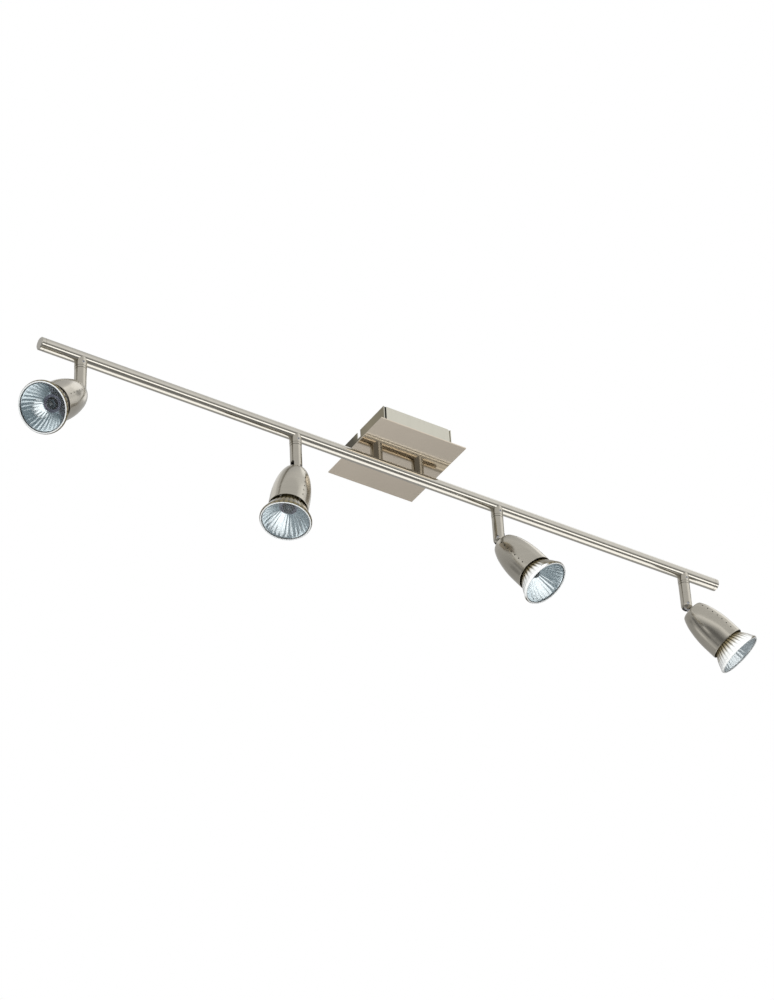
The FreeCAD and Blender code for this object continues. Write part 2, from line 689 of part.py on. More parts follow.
def make_shell(lamp):
    """Bullet shell: rounded rear, full width near the mouth, a row of vents on each side."""
    hole = D["stud_diameter"] / 2 + D["running_gap"]
    wall = D["shell_wall"]
    rear = -D["shell_rear"]
    knee = rear - D["shell_knee"]
    full = rear - D["shell_full"]
    mouth = rear - D["shell_length"]
    inner_rear = rear - D["rear_wall"]
    shoulder = rear - D["rear_corner_depth"]
    name = "shell_" + lamp[0]
    body = turned(name, [
        (hole, rear), (D["rear_flat_radius"], rear), (D["shell_rear_radius"], shoulder),
        (D["shell_knee_radius"], knee), (D["shell_radius"], full), (D["shell_radius"], mouth),
        (D["shell_radius"] - wall, mouth), (D["shell_radius"] - wall, full),
        (D["shell_knee_radius"] - wall, knee), (D["shell_rear_radius"] - wall, shoulder),
        (D["rear_flat_radius"], inner_rear), (hole, inner_rear)],
        arcs={1: (D["rear_corner_arc"], True), 2: (D["rear_arc"], True),
              3: (D["front_arc"], True), 7: (D["front_arc"] - wall, False),
              8: (D["rear_arc"] - wall, False)})
    drill_vents(body)
    pivot_place(body, lamp, tilted=True, turned_by=lamp[5])
    node(body, name)


def drill_vents(body):
    first = -D["shell_rear"] - D["vent_first"]
    drilled = pocket(body, "XZ_Plane", lambda s: circle(s, 0, first, D["vent_diameter"] / 2),
                     midplane=True)
    row = body.newObject("PartDesign::LinearPattern", body.Name + "_vents")
    row.Originals = [drilled]
    row.Direction = (drilled.Profile[0], ["V_Axis"])
    row.Reversed = True
    row.setExpression("Length", (D["vent_pitch"] * (D["vent_count"] - 1)).text)
    row.setExpression("Occurrences", D["vent_count"].text)
    body.Tip = row
    doc.recompute()


def make_holder(lamp):
    """Ceramic lamp holder: threaded neck on the stud, ring recess for the lamp's pins."""
    bore = D["stud_diameter"] / 2 + D["running_gap"]
    rear = -D["shell_rear"] - D["rear_wall"]
    shoulder = rear - D["holder_neck"]
    front = shoulder - D["holder_length"]
    floor = front + D["holder_recess"]
    bore_end = -D["shell_rear"] - D["stud_length"] - D["loose_gap"]
    name = "lamp_holder_" + lamp[0]
    body = turned(name, [
        (bore, rear), (D["holder_neck_radius"], rear), (D["holder_neck_radius"], shoulder),
        (D["holder_radius"], shoulder), (D["holder_radius"], front),
        (D["holder_recess_radius"], front), (D["holder_recess_radius"], floor),
        (D["holder_boss_radius"], floor), (D["holder_boss_radius"], front), (0, front),
        (0, bore_end), (bore, bore_end)])
    pivot_place(body, lamp, tilted=True)
    node(body, name)


# Reflector lamp

def make_lamp_base(lamp):
    rear = -D["base_rear"]
    front = rear - D["base_length"]
    socket = -D["capsule_rear"] + D["seam"]
    socket_radius = D["capsule_radius"] + D["running_gap"]
    name = "bulb_base_" + lamp[0]
    body = turned(name, [
        (0, rear), (D["base_radius"], rear), (D["base_waist_radius"], rear - D["base_taper"]),
        (D["base_waist_radius"], front), (socket_radius, front), (socket_radius, socket),
        (0, socket)])
    pivot_place(body, lamp, tilted=True)
    node(body, name)


def make_reflector(lamp):
    """Pressed-glass cup: neck, curved cone and a thick front rim that seats the lens."""
    wall = D["glass_wall"]
    back = -D["base_rear"] - D["base_length"]
    rim_inside = D["rim_radius"] - D["rim_wall"]
    seat = D["lens_recess"] + D["lens_thickness"] + D["running_gap"] - D["lamp_front"]
    rim_back = -D["cone_end"] - (D["rim_radius"] - D["cone_radius"])
    name = "bulb_reflector_" + lamp[0]
    body = turned(name, [
        (D["neck_radius"], back), (D["neck_radius"], -D["neck_end"]),
        (D["cone_radius"], -D["cone_end"]), (D["rim_radius"], rim_back),
        (D["rim_radius"], -D["lamp_front"]), (rim_inside, -D["lamp_front"]), (rim_inside, seat),
        (D["cone_radius"] - wall, seat), (D["cone_radius"] - wall, -D["cone_end"]),
        (D["neck_radius"] - wall, -D["neck_end"]), (D["neck_radius"] - wall, back)],
        arcs={1: (D["cone_arc"], True), 8: (D["cone_arc"] - wall, False)})
    pivot_place(body, lamp, tilted=True)
    node(body, name)


def make_lens(lamp):
    radius = D["rim_radius"] - D["rim_wall"] - D["running_gap"]
    front = D["lens_recess"] - D["lamp_front"]
    name = "bulb_lens_" + lamp[0]
    body = turned(name, [(0, front), (radius, front), (radius, front + D["lens_thickness"]),
                         (0, front + D["lens_thickness"])])
    pivot_place(body, lamp, tilted=True)
    node(body, name)


def make_capsule(lamp):
    radius = D["capsule_radius"]
    name = "bulb_capsule_" + lamp[0]
    body = turned(name, [
        (0, -D["capsule_rear"]), (radius, -D["capsule_rear"]),
        (radius, radius - D["capsule_front"]), (0, -D["capsule_front"])],
        arcs={2: (radius, True)})
    pivot_place(body, lamp, tilted=True)
    node(body, name)


def make_lamp_pins(lamp):
    pins = []
    rear = -D["base_rear"]
    for side in (-1, 1):
        across = D["lamp_pin_pitch"] / 2 * side
        neck = cylinder("pin_neck", D["lamp_pin_neck"] / 2, D["lamp_pin_length"], across, 0, rear)
        head = cylinder("pin_head", D["lamp_pin_head"] / 2, D["lamp_pin_head_length"], across, 0,
                        rear + D["lamp_pin_length"] - D["lamp_pin_head_length"])
        pins.append(fused("lamp_pin", [neck, head]))
    pair = group("lamp_pins", pins)
    pivot_place(pair, lamp, tilted=True)
    node(pair, "bulb_pins_" + lamp[0])


def make_everything():
    make_plate()
    make_pan()
    make_bracket()
    make_lock_screw()
    make_post("spacer_post_left", -1)
    make_post("spacer_post_right", 1)
    make_post_nuts()
    make_terminal_block()
    make_terminal_screws()
    make_earth_terminal()
    make_bar_leads()
    make_bar()
    make_end_cap("end_cap_left", -1)
    make_end_cap("end_cap_right", 1)
    make_grub_screws()
    make_swivel_rings()
    for lamp in LAMPS:
        make_collar(lamp)
        make_stem(lamp)
        make_pivot_pin(lamp)
        make_knuckle(lamp)
        make_shell(lamp)
        make_holder(lamp)
        make_lamp_base(lamp)
        make_reflector(lamp)
        make_lens(lamp)
        make_capsule(lamp)
        make_lamp_pins(lamp)


def check_document():
    for item in doc.Objects:
        if "Invalid" in item.State or "Error" in item.State:
            raise RuntimeError(f"{item.Name} failed: {item.State}")
    for item in NODES:
        if item.Shape.isNull() or not item.Shape.isValid():
            raise RuntimeError(f"{item.Label} has no valid shape")


def write_parts():
    os.makedirs("parts", exist_ok=True)
    for item in NODES:
        item.Shape.exportStep(f"parts/{item.Label}.step")
        bounds = item.Shape.BoundBox
        print(f"{item.Label}: {len(item.Shape.Solids)} solid(s), {item.Shape.Volume:.0f} mm3, "
              f"z {bounds.ZMin:.2f} to {bounds.ZMax:.2f}")


make_everything()
doc.recompute()
check_document()
write_parts()
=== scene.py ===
# Looks of a ceiling spotlight bar: satin nickel bar, canopy and heads, fluted glass lamps.
# The CAD frame gives every place; lengths below are millimetres unless a name says otherwise.
import json
import math

import bmesh
import bpy
from mathutils import Matrix, Vector


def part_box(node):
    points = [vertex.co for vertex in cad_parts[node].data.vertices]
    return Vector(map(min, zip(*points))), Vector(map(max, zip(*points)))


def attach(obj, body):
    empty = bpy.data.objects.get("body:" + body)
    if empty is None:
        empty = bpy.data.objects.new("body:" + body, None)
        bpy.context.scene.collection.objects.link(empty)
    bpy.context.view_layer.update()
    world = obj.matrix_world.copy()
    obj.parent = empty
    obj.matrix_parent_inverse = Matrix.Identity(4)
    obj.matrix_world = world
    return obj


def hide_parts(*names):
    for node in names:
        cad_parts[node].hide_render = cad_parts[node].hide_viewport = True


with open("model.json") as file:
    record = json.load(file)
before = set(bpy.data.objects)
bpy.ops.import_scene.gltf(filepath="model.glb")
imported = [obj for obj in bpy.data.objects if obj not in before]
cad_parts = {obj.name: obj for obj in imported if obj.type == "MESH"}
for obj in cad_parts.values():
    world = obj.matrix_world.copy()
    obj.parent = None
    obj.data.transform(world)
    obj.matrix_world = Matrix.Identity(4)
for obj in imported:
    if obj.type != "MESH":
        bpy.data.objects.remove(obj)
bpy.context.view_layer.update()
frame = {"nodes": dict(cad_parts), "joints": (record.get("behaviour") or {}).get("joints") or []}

MM = 0.001
LAMPS = ("1", "2", "3", "4")
SHELL_TURNS = {"1": -3.0, "2": -6.0, "3": -16.0, "4": 13.0}  # degrees about each head's axis
LATHE_STEPS = 144
SMOOTH_ANGLE = math.radians(32)

# Camera of the product view: below the bar, in front and to the left, with a long lens
CAMERA_OFFSET = Vector((-1332.65, -1918.66, -1821.61)) * MM  # from the middle of the bar
CAMERA_RIGHT = Vector((0.842, -0.537, -0.045))
CAMERA_FORWARD = Vector((0.450, 0.655, 0.608))
CAMERA_LENS = 109.0
SENSOR = 36.0
FLOOR_DROP = 4.2  # metres below the ceiling, under every view's camera
FLOOR_RADIUS = 14  # metres

joints = {joint["name"]: joint for joint in frame["joints"]}


def head_matrix(lamp):
    """Frame of a head: origin at the tilt pivot, Z from the mouth back, Y along the pin."""
    pivot = Vector(joints["tilt_" + lamp]["pos_m"])
    back = -Vector(joints["bulb_twist_" + lamp]["axis"]).normalized()
    pin = -Vector(joints["tilt_" + lamp]["axis"]).normalized()
    rotation = Matrix((pin.cross(back), pin, back)).transposed()
    return Matrix.Translation(pivot) @ rotation.to_4x4()


def turned_span(node, lamp):
    """Largest radius and the height range of a CAD node in its head's frame, in mm."""
    to_head = head_matrix(lamp).inverted()
    points = [to_head @ vertex.co for vertex in frame["nodes"][node].data.vertices]
    radius = max(math.hypot(point.x, point.y) for point in points)
    heights = [point.z for point in points]
    return radius / MM, min(heights) / MM, max(heights) / MM


# Meshes

def new_object(name, mesh, matrix=None):
    item = bpy.data.objects.new(name, mesh)
    bpy.context.scene.collection.objects.link(item)
    if matrix is not None:
        item.matrix_world = matrix
    return item


def head_piece(name, mesh, matrix):
    """A piece of one head: a copy of the mesh, moved into the CAD frame so its box is tight."""
    own = mesh.copy()
    place = own.attributes.new("head_place", "FLOAT_VECTOR", "POINT")
    place.data.foreach_set("vector", [value for vertex in own.vertices for value in vertex.co])
    own.transform(matrix)
    return new_object(name, own)


def finish_mesh(build, name, materials=()):
    mesh = bpy.data.meshes.new(name)
    bmesh.ops.recalc_face_normals(build, faces=build.faces)
    build.to_mesh(mesh)
    build.free()
    for material in materials:
        mesh.materials.append(material)
    mesh.shade_smooth()
    mesh.set_sharp_from_angle(angle=SMOOTH_ANGLE)
    return mesh


def arc(start, end, radius, steps, outward=True):
    """Points after start up to end on an arc; outward puts its middle at the larger radius."""
    first, last = Vector(start), Vector(end)
    chord = last - first
    normal = Vector((-chord.y, chord.x)).normalized()
    if (normal.x > 0) != outward:
        normal = -normal
    reach = math.sqrt(max(radius ** 2 - (chord.length / 2) ** 2, 0))
    centre = (first + last) / 2 - normal * reach
    begin = math.atan2(first.y - centre.y, first.x - centre.x)
    sweep = math.atan2(last.y - centre.y, last.x - centre.x) - begin
    sweep = (sweep + math.pi) % (2 * math.pi) - math.pi
    points = []
    for step in range(1, steps + 1):
        angle = begin + sweep * step / steps
        points.append((centre.x + radius * math.cos(angle), centre.y + radius * math.sin(angle)))
    return points


def lathe(name, profile, materials, pick=None, ripple=None, closed=True, steps=LATHE_STEPS):
    """Turn (radius, height) points about Z. pick gives a strip's material, ripple a radius."""
    build = bmesh.new()
    rings = []
    for row, (radius, height) in enumerate(profile):
        if radius < 1e-6:
            rings.append([build.verts.new((0, 0, height * MM))])
            continue
        ring = []
        for step in range(steps):
            angle = 2 * math.pi * step / steps
            moved = radius + (ripple(row, angle) if ripple else 0.0)
            ring.append(build.verts.new((moved * MM * math.cos(angle),
                                         moved * MM * math.sin(angle), height * MM)))
        rings.append(ring)
    pairs = list(zip(rings, rings[1:] + rings[:1] if closed else rings[1:]))
    for strip, (first, second) in enumerate(pairs):
        for step in range(steps):
            after = (step + 1) % steps
            corners = [first[step % len(first)], first[after % len(first)],
                       second[after % len(second)], second[step % len(second)]]
            corners = list(dict.fromkeys(corners))
            if len(corners) > 2:
                face = build.faces.new(corners)
                face.material_index = pick(strip) if pick else 0
    return finish_mesh(build, name, materials)


def tube(name, points, radius, materials, steps=12):
    """A round wire through the points, with capped ends."""
    curve = bpy.data.curves.new(name, "CURVE")
    curve.dimensions = "3D"
    spline = curve.splines.new("NURBS")
    spline.points.add(len(points) - 1)
    for place, point in zip(spline.points, points):
        place.co = (point[0] * MM, point[1] * MM, point[2] * MM, 1)
    spline.order_u = 3
    spline.use_endpoint_u = True
    curve.bevel_depth = radius * MM
    curve.bevel_resolution = steps // 4
    curve.use_fill_caps = True
    for material in materials:
        curve.materials.append(material)
    holder = new_object(name + "_path", curve)
    bpy.context.view_layer.update()
    mesh = bpy.data.meshes.new_from_object(holder.evaluated_get(
        bpy.context.evaluated_depsgraph_get()))
    bpy.data.objects.remove(holder)
    mesh.shade_smooth()
    return mesh


# Material nodes

def add(tree, kind, settings=None, **inputs):
    """Add a node; settings are its own properties, inputs its sockets (spaces as _)."""
    node = tree.nodes.new(kind)
    for name, value in (settings or {}).items():
        setattr(node, name, value)
    for name, value in inputs.items():
        socket = node.inputs[name.replace("_", " ")]
        if isinstance(value, bpy.types.NodeSocket):
            tree.links.new(value, socket)
        else:
            socket.default_value = value
    return node


def math_node(tree, operation, *values, clamp=False):
    node = tree.nodes.new("ShaderNodeMath")
    node.operation = operation
    node.use_clamp = clamp
    for socket, value in zip(node.inputs, values):
        if isinstance(value, bpy.types.NodeSocket):
            tree.links.new(value, socket)
        else:
            socket.default_value = value
    return node.outputs[0]


def ramp(tree, value, stops, interpolation="LINEAR"):
    """Colour ramp; stops are (place, grey or colour)."""
    node = tree.nodes.new("ShaderNodeValToRGB")
    tree.links.new(value, node.inputs[0])
    node.color_ramp.interpolation = interpolation
    elements = node.color_ramp.elements
    for index, (place, colour) in enumerate(stops):
        element = elements[index] if index < 2 else elements.new(place)
        element.position = place
        element.color = (*colour, 1) if isinstance(colour, tuple) else (colour,) * 3 + (1,)
    return node.outputs["Color"]


def dot(tree, way, axis):
    node = add(tree, "ShaderNodeVectorMath", {"operation": "DOT_PRODUCT"})
    tree.links.new(way, node.inputs[0])
    node.inputs[1].default_value = axis
    return node.outputs["Value"]


def blend(tree, share, first, second):
    return add(tree, "ShaderNodeMix", {"data_type": "RGBA"}, Factor=share, A=first,
               B=second).outputs["Result"]


def new_material(name, **inputs):
    material = bpy.data.materials.new(name)
    material.use_nodes = True
    shader = material.node_tree.nodes["Principled BSDF"]
    for key, value in inputs.items():
        shader.inputs[key.replace("_", " ")].default_value = value
    return material, material.node_tree, shader


def scaled_coordinates(tree, scale):
    place = add(tree, "ShaderNodeTexCoord").outputs["Object"]
    return add(tree, "ShaderNodeMapping", Vector=place, Scale=scale).outputs["Vector"]


def shade(colour, factor):
    return tuple(min(channel * factor, 1.0) for channel in colour)


def metal(name, colour, roughness, brush, grain=0.08, bump=0.012, spread=0.02):
    """Brushed or satin metal: fine lines along the brush, faint cloudy marks."""
    material, tree, shader = new_material(name, Metallic=1.0)
    finish_metal(tree, shader, colour, roughness, brush, grain, bump, spread)
    return material


def finish_metal(tree, shader, colour, roughness, brush, grain, bump, spread):
    """Link brush marks to a shader; colour is a colour or a socket that gives one."""
    lines = add(tree, "ShaderNodeTexNoise", Vector=scaled_coordinates(tree, brush),
                Scale=1.0, Detail=4.0, Roughness=0.6).outputs["Fac"]
    clouds = add(tree, "ShaderNodeTexNoise", Vector=scaled_coordinates(tree, (38, 38, 38)),
                 Scale=1.0, Detail=4.0, Roughness=0.5).outputs["Fac"]
    mixed = math_node(tree, "MULTIPLY_ADD", clouds, 0.35,
                      math_node(tree, "MULTIPLY", lines, 0.65))
    marks = ramp(tree, mixed, [(0.32, 1 - grain), (0.68, 1.0)])
    if not isinstance(colour, bpy.types.NodeSocket):
        colour = (*colour, 1)
    tint = add(tree, "ShaderNodeMix", {"data_type": "RGBA", "blend_type": "MULTIPLY"},
               Factor=1.0, A=colour, B=marks).outputs["Result"]
    tree.links.new(tint, shader.inputs["Base Color"])
    rough = add(tree, "ShaderNodeMapRange", Value=mixed, From_Min=0.3, From_Max=0.7,
                To_Min=roughness - spread, To_Max=roughness + spread).outputs["Result"]
    tree.links.new(rough, shader.inputs["Roughness"])
    relief = add(tree, "ShaderNodeBump", Strength=bump, Distance=0.00015, Height=lines)
    tree.links.new(relief.outputs["Normal"], shader.inputs["Normal"])


def pan_metal():
    """Bright sheet; olive side walls with painted shade, darker to the back; painted shade over the
    inside; a painted shadow in the left slit.
    """
    material, tree, shader = new_material("canopy_pan_nickel", Metallic=1.0)
    surface = add(tree, "ShaderNodeNewGeometry")
    facing = add(tree, "ShaderNodeSeparateXYZ", Vector=surface.outputs["Normal"]).outputs["X"]
    across, depth, height = add(tree, "ShaderNodeSeparateXYZ",
                                Vector=surface.outputs["Position"]).outputs
    low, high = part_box("canopy_pan")
    along = add(tree, "ShaderNodeMapRange", Value=depth, From_Min=low.y,
                From_Max=high.y).outputs["Result"]
    drop = add(tree, "ShaderNodeMapRange", Value=height, From_Min=high.z,
               From_Max=low.z).outputs["Result"]
    # painted shade on the side walls (faces towards ±X): olive, lighter partway back, darkest at the
    # back
    side = ramp(tree, math_node(tree, "MULTIPLY_ADD", drop, 0.15, along),
                [(0.0, shade(SIDE_WALL_SHADE_OLIVE, 0.62)), (0.4, shade(SIDE_WALL_SHADE_OLIVE, 0.78)),
                 (0.6, shade(SIDE_WALL_SHADE_OLIVE, 0.62)), (0.75, shade(SIDE_WALL_SHADE_OLIVE, 0.22))])
    share = add(tree, "ShaderNodeMapRange", Value=math_node(tree, "ABSOLUTE", facing),
                From_Min=0.5, From_Max=0.8).outputs["Result"]
    colour = blend(tree, share, (*BRIGHT_SHEET, 1), side)
    # painted shade: what lies inside the pan's outline, deeper than PAN_SKIN and away from the
    # right-hand corner tab, is darkened to 0.45
    reach = [math_node(tree, "ABSOLUTE", place) for place in (across, depth)]
    inside = math_node(tree, "LESS_THAN", math_node(tree, "MAXIMUM", *reach),
                       high.x - PAN_SKIN * MM)
    inside = math_node(tree, "MULTIPLY", inside,
                       math_node(tree, "LESS_THAN", across, high.x - SLIT_REACH * MM))
    # painted shadow: the left corner slit, within SLIT_REACH of the left side, is darkened to 0.08 of
    # the sheet
    slit = math_node(tree, "MULTIPLY", inside,
                     math_node(tree, "LESS_THAN", across, low.x + SLIT_REACH * MM))
    colour = blend(tree, inside, colour, (*shade(BRIGHT_SHEET, 0.45), 1))
    colour = blend(tree, slit, colour, (*shade(BRIGHT_SHEET, 0.08), 1))
    finish_metal(tree, shader, colour, 0.14, (300, 300, 20), 0.05, 0.01, 0.02)
    return material


NICKEL = (0.615, 0.580, 0.503)
BAR_NICKEL = (0.620, 0.592, 0.527)
PLATE_NICKEL = (0.76, 0.675, 0.56)
BRIGHT_SHEET = (0.68, 0.66, 0.57)
# olive of the painted shade on the pan's side walls
SIDE_WALL_SHADE_OLIVE = (0.51, 0.45, 0.31)
PAN_SKIN = 0.5  # what lies deeper than this inside the pan's outline gets painted shade
SLIT_REACH = 3.2  # from the pan's side to the far edge of a corner tab
ALONG_X = (240, 25, 25)
ALONG_Z = (25, 25, 320)
GRAIN_ALONG_Y = (1400, 25, 200)


def make_metals():
    return {
        "bar": metal("satin_nickel_bar", BAR_NICKEL, 0.13, ALONG_X),
        "stem": metal("satin_nickel_stem", NICKEL, 0.14, ALONG_Z),
        "shell": metal("satin_nickel_shell", NICKEL, 0.18, ALONG_Z),
        "plate": metal("brushed_nickel_plate", PLATE_NICKEL, 0.11, GRAIN_ALONG_Y, grain=0.03,
                       bump=0.0, spread=0.01),
        "pan": pan_metal(),
        "zinc": metal("zinc_plated_steel", (0.56, 0.57, 0.60), 0.24, (400, 400, 400), grain=0.2),
        "brass": metal("terminal_brass", (0.74, 0.55, 0.26), 0.25, (500, 500, 500)),
    }


def matte(name, colour, roughness, pores, relief=0.2, mottling=0.12, **inputs):
    """Plastic or ceramic: mottled colour and a fine orange-peel surface."""
    material, tree, shader = new_material(name, **inputs)
    mottle = add(tree, "ShaderNodeTexNoise", Vector=scaled_coordinates(tree, (pores,) * 3),
                 Scale=1.0, Detail=6.0, Roughness=0.6).outputs["Fac"]
    tint = ramp(tree, mottle, [(0.3, shade(colour, 1 - mottling)),
                               (0.7, shade(colour, 1 + mottling / 2))])
    tree.links.new(tint, shader.inputs["Base Color"])
    rough = add(tree, "ShaderNodeMapRange", Value=mottle, To_Min=roughness - 0.08,
                To_Max=roughness + 0.08).outputs["Result"]
    tree.links.new(rough, shader.inputs["Roughness"])
    bumps = add(tree, "ShaderNodeBump", Strength=relief, Distance=0.0002, Height=mottle)
    tree.links.new(bumps.outputs["Normal"], shader.inputs["Normal"])
    return material


def make_plastics():
    return {
        "terminal": matte("terminal_block_plastic", (0.82, 0.80, 0.74), 0.45, 900),
        "ceramic": matte("lamp_ceramic", (0.80, 0.77, 0.69), 0.40, 700),
        "brown": matte("lead_brown", (0.20, 0.085, 0.035), 0.42, 900),
        "blue": matte("lead_blue", (0.04, 0.13, 0.42), 0.42, 900),
        "green": matte("lead_earth", (0.20, 0.42, 0.06), 0.42, 900),
        # black lens cement, its darkness partly a painted shadow in the gap between lens and cup
        "cement": matte("lens_cement", (0.035, 0.04, 0.04), 0.35, 900),
        # dark olive-brown for the shells' insides: painted shade
        "shaded_inside": matte("shell_inside_painted_shade", (0.17, 0.14, 0.065), 0.35, 300, Coat_Weight=0.4),
    }


def glass(name, colour, roughness, waves, relief=0.06):
    """Pressed glass: clear, with the slow waves of the mould."""
    material, tree, shader = new_material(name, Transmission_Weight=1.0, IOR=1.46)
    flow = add(tree, "ShaderNodeTexNoise", Vector=scaled_coordinates(tree, (waves,) * 3),
               Scale=1.0, Detail=2.0).outputs["Fac"]
    tint = ramp(tree, flow, [(0.2, shade(colour, 0.97)), (0.8, colour)])
    tree.links.new(tint, shader.inputs["Base Color"])
    rough = add(tree, "ShaderNodeMapRange", Value=flow, To_Min=roughness * 0.5,
                To_Max=roughness * 1.5).outputs["Result"]
    tree.links.new(rough, shader.inputs["Roughness"])
    bumps = add(tree, "ShaderNodeBump", Strength=relief, Distance=0.0004, Height=flow)
    tree.links.new(bumps.outputs["Normal"], shader.inputs["Normal"])
    return material


def coating(name, colour, dark, roughness, bump, metallic=1.0):
    """Vapour-deposited mirror on pressed glass: tinted, slightly uneven."""
    material, tree, shader = new_material(name, Metallic=metallic)
    mist = add(tree, "ShaderNodeTexNoise", Vector=scaled_coordinates(tree, (90, 90, 90)),
               Scale=1.0, Detail=3.0, Roughness=0.5).outputs["Fac"]
    tint = ramp(tree, mist, [(0.35, dark), (0.65, colour)])
    tree.links.new(tint, shader.inputs["Base Color"])
    rough = add(tree, "ShaderNodeMapRange", Value=mist, To_Min=roughness * 0.7,
                To_Max=roughness * 1.3).outputs["Result"]
    tree.links.new(rough, shader.inputs["Roughness"])
    relief = add(tree, "ShaderNodeBump", Strength=bump, Distance=0.0003, Height=mist)
    tree.links.new(relief.outputs["Normal"], shader.inputs["Normal"])
    return material


def milky_glass(name, colour, clear):
    """Moulded glass that glows pale where light comes in from all sides."""
    material, tree, shader = new_material(name, Transmission_Weight=clear, IOR=1.46,
                                          Coat_Weight=0.5, Coat_Roughness=0.04)
    flow = add(tree, "ShaderNodeTexNoise", Vector=scaled_coordinates(tree, (300, 300, 300)),
               Scale=1.0, Detail=3.0).outputs["Fac"]
    tint = ramp(tree, flow, [(0.3, shade(colour, 0.9)), (0.7, colour)])
    tree.links.new(tint, shader.inputs["Base Color"])
    rough = add(tree, "ShaderNodeMapRange", Value=flow, To_Min=0.15,
                To_Max=0.3).outputs["Result"]
    tree.links.new(rough, shader.inputs["Roughness"])
    bumps = add(tree, "ShaderNodeBump", Strength=0.1, Distance=0.0002, Height=flow)
    tree.links.new(bumps.outputs["Normal"], shader.inputs["Normal"])
    return material


def ribbed_back():
    """Outside of the cup: painted light and shade over the ribs: white by the rim, brown by the shell,
    olive on the shaded side.
    """
    material, tree, shader = new_material("ribbed_glass_back", Coat_Weight=0.7,
                                          Coat_Roughness=0.06)
    front = turned_span("bulb_reflector_1", "1")[1]
    place = add(tree, "ShaderNodeAttribute", {"attribute_name": "head_place"})
    across, along, height = add(tree, "ShaderNodeSeparateXYZ",
                                Vector=place.outputs["Vector"]).outputs
    depth = add(tree, "ShaderNodeMapRange", Value=height, From_Min=front * MM,
                From_Max=(front + STRIPED_LENGTH) * MM).outputs["Result"]
    turn = math_node(tree, "ARCTAN2", along, across)
    wave = math_node(tree, "COSINE", math_node(tree, "MULTIPLY", turn, float(FLUTES)))
    # painted highlight and shade on the ribs: crests lighter than grooves
    stripes = ramp(tree, math_node(tree, "MULTIPLY_ADD", wave, 0.5, 0.5),
                   [(0.15, 0.0), (0.55, 1.0)])
    # painted shade: the ribs go from white by the rim to brown by the shell
    crest = ramp(tree, depth, [(0.0, (0.92, 0.93, 0.92)), (0.5, (0.84, 0.85, 0.83)),
                               (0.72, (0.55, 0.52, 0.44)), (0.9, (0.22, 0.18, 0.10))])
    groove = ramp(tree, depth, [(0.1, (0.84, 0.86, 0.86)), (0.4, (0.60, 0.61, 0.60)),
                                (0.6, (0.26, 0.24, 0.20)), (0.8, (0.06, 0.05, 0.03))])
    bright = blend(tree, stripes, groove, crest)
    # painted shade: the olive side of the cups, darker in the grooves
    painted_shade_side = blend(tree, stripes, (*shade(SHADED_BACK_OLIVE, 0.5), 1), (*SHADED_BACK_OLIVE, 1))
    # painted light by world normal and position: the side towards LIT_SIDE, further round on the
    # right-hand cups, gets the lit ribs
    surface = add(tree, "ShaderNodeNewGeometry")
    from_middle = add(tree, "ShaderNodeSeparateXYZ", Vector=surface.outputs["Position"])
    facing = math_node(tree, "MULTIPLY_ADD", from_middle.outputs["X"], LIT_SLOPE,
                       dot(tree, surface.outputs["Normal"], LIT_SIDE))
    lit = add(tree, "ShaderNodeMapRange", {"interpolation_type": "SMOOTHSTEP"}, Value=facing,
              From_Min=LIT_EDGE[0], From_Max=LIT_EDGE[1]).outputs["Result"]
    tree.links.new(blend(tree, lit, painted_shade_side, bright), shader.inputs["Base Color"])
    mist = add(tree, "ShaderNodeTexNoise", Vector=scaled_coordinates(tree, (400, 400, 400)),
               Scale=1.0, Detail=3.0).outputs["Fac"]
    rough = add(tree, "ShaderNodeMapRange", Value=mist, To_Min=0.12,
                To_Max=0.28).outputs["Result"]
    tree.links.new(rough, shader.inputs["Roughness"])
    relief = add(tree, "ShaderNodeBump", Strength=0.1, Distance=0.0002, Height=mist)
    tree.links.new(relief.outputs["Normal"], shader.inputs["Normal"])
    return material


def make_glasses():
    return {
        "rim": milky_glass("rim_glass", (0.93, 0.96, 0.96), 0.3),
        "lens": glass("lens_glass", (0.97, 0.985, 0.99), 0.01, 60, relief=0.01),
        "quartz": glass("quartz_glass", (0.93, 0.94, 0.96), 0.02, 300),
        "mirror": coating("reflector_mirror", (0.86, 0.90, 0.92), (0.81, 0.86, 0.88), 0.07, 0.0, 0.85),
        "back": ribbed_back(),
        "neck": coating("reflector_neck", (0.50, 0.44, 0.51), (0.36, 0.30, 0.37), 0.20, 0.02),
    }


# olive of the painted shade on the cups' backs
SHADED_BACK_OLIVE = (0.13, 0.105, 0.05)
LIT_SIDE = (-0.85, -0.30, -0.43)  # direction of the studio's lamps; the cups' backs facing it get painted light
LIT_SLOPE = 1.5  # per metre: the right-hand cups get painted light further round
LIT_EDGE = (0.70, 0.88)  # where the painted shade ends and the painted light begins
FLUTES = 34
STRIPED_LENGTH = 16.0  # from the rim's front back to where the painted shade has turned the cup's outside brown

metals = make_metals()
plastics = make_plastics()
glasses = make_glasses()


# CAD nodes that keep their shape

def dress(node, material):
    """Give a CAD node its finished material."""
    mesh = frame["nodes"][node].data
    mesh.materials.clear()
    mesh.materials.append(material)


